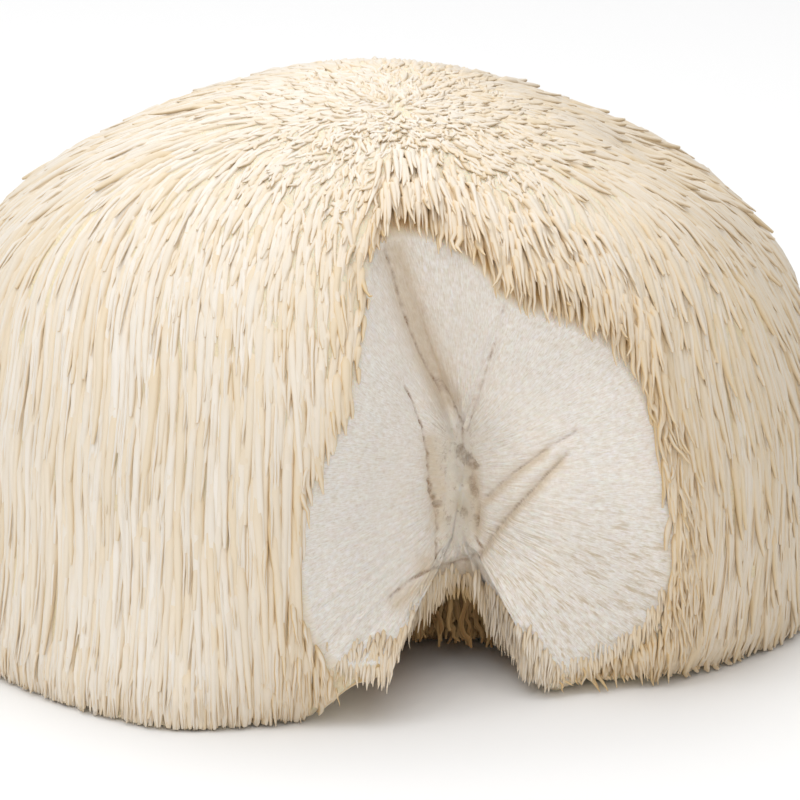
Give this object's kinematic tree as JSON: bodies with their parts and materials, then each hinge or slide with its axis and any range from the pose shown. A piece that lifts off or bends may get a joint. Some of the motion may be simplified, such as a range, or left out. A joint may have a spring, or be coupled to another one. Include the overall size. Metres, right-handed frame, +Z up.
{
  "type": "lions mane mushroom",
  "caption": "Domed tooth fungus with a coat of hanging cream spines and a bare torn side with a cleft, resting on its flat underside.",
  "frame": {"origin": "on the resting plane, under the middle of the box", "axes": "+Z up from the resting underside, -Y out of the torn side, +X to the right as one looks at the torn side"},
  "size_m": [0.1739, 0.1618, 0.1037],
  "materials": {
    "cream_flesh": "soft, matt to slightly waxy"
  },
  "bodies": {
    "root": {"fruiting_body": "cream_flesh"}
  },
  "joints": []
}
